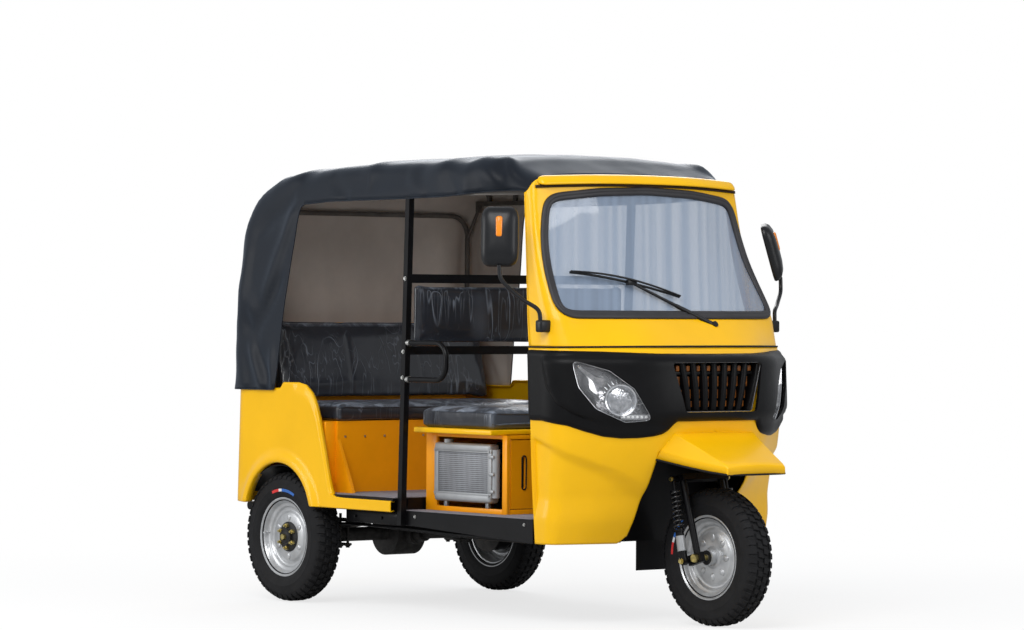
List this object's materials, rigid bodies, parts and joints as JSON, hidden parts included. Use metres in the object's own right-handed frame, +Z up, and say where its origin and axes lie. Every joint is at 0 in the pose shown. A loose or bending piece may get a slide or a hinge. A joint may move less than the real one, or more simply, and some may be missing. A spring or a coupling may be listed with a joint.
{
  "type": "auto rickshaw",
  "caption": "Three-wheeled passenger auto rickshaw with a moulded nose, open sides, bench seats, soft black canopy, steered front wheel and free-turning rear wheels",
  "frame": {"origin": "bottom centre of the overall box: on the floor, midway between the front tyre's front and the rear bumper's back", "axes": "+X forward, +Y to the vehicle's left, +Z up"},
  "size_m": [2.7174, 1.5944, 1.8719],
  "materials": {
    "body_yellow": "bright yellow gloss enamel over pressed steel and moulded panels",
    "inner_orange": "deep yellow gloss enamel inside the cab",
    "nose_black": "black fine-grained moulded plastic",
    "frame_black": "black semi-gloss enamel on steel",
    "vinyl_canopy": "black coated canopy cloth with a soft bluish sheen, lined grey-brown",
    "vinyl_seat": "navy-black seat vinyl",
    "tyre": "black ribbed and block-edged tyre rubber",
    "rubber": "black moulded rubber",
    "wheel_silver": "silver wheel enamel",
    "hub_black": "black painted cast drum",
    "zinc": "yellow zinc-plated fastenings",
    "steel_dark": "dark cast and forged steel",
    "aluminium": "bare aluminium core and tanks",
    "exhaust": "heat-dulled steel",
    "glass": "clear laminated glass, faintly blue",
    "lamp": "clear lens over a bright reflector",
    "tail_red": "red ribbed lens",
    "plate_white": "blank white plate",
    "mirror_black": "black moulded housing",
    "floor_mat": "grey ribbed floor covering",
    "dash_grey": "dark grey moulded plastic"
  },
  "bodies": {
    "body": {"rear_axle": "steel_dark", "rear_suspension": "steel_dark", "engine_block": "steel_dark", "prop_shaft": "steel_dark", "exhaust": "exhaust", "chassis_frame": "frame_black", "side_sills": "frame_black", "floor_pan": "floor_mat", "rear_side_panels": "body_yellow", "rear_panel": "body_yellow", "wheel_houses": "frame_black", "tail_lamps": "tail_red", "number_plate": "plate_white", "rear_bumper": "frame_black", "rear_seat_box": "inner_orange", "rear_seat_cushion": "vinyl_seat", "rear_seat_back": "vinyl_seat", "driver_seat_box": "inner_orange", "radiator": "aluminium", "driver_seat_cushion": "vinyl_seat", "side_posts": "frame_black", "backrest_bars": "frame_black", "driver_backrest": "vinyl_seat", "grab_handles": "frame_black", "screen_surround": "body_yellow", "screen_seal": "rubber", "windscreen": "glass", "lower_cowl": "body_yellow", "headlamps": "lamp", "nose_panel": "nose_black", "grille": "nose_black", "front_fender": "body_yellow", "wheel_well": "frame_black", "front_bulkhead": "inner_orange", "dashboard": "dash_grey", "front_mud_flap": "rubber", "roof_frame": "frame_black", "canopy": "vinyl_canopy", "mirrors": "mirror_black", "wiper": "mirror_black"},
    "steering": {"front_fork": "frame_black", "front_axle": "zinc", "front_struts": "frame_black", "handlebar": "frame_black"},
    "front_wheel": {"front_tyre": "tyre", "front_rim": "wheel_silver", "front_hub": "hub_black"},
    "rear_wheel_right": {"rear_tyre_right": "tyre", "rear_rim_right": "wheel_silver", "rear_hub_right": "hub_black"},
    "rear_wheel_left": {"rear_tyre_left": "tyre", "rear_rim_left": "wheel_silver", "rear_hub_left": "hub_black"},
    "seat_box_door": {"seat_box_door": "inner_orange"}
  },
  "joints": [
    {"name": "steering_turn", "type": "hinge", "parent": "body", "child": "steering", "pos_m": [1.08625, 0, 0.2725], "axis": [-0.2924, 0, 0.9563], "range_deg": [-35, 35]},
    {"name": "front_wheel_spin", "type": "hinge", "parent": "steering", "child": "front_wheel", "pos_m": [1.08625, 0, 0.2725], "axis": [0, 1, 0], "continuous": true},
    {"name": "rear_wheel_right_spin", "type": "hinge", "parent": "body", "child": "rear_wheel_right", "pos_m": [-0.95875, -0.565, 0.2725], "axis": [0, 1, 0], "continuous": true},
    {"name": "rear_wheel_left_spin", "type": "hinge", "parent": "body", "child": "rear_wheel_left", "pos_m": [-0.95875, 0.565, 0.2725], "axis": [0, 1, 0], "continuous": true},
    {"name": "seat_box_door_hinge", "type": "hinge", "parent": "body", "child": "seat_box_door", "pos_m": [0.36225, -0.143, 0.58], "axis": [0, 0, 1], "range_deg": [0, 95]}
  ]
}
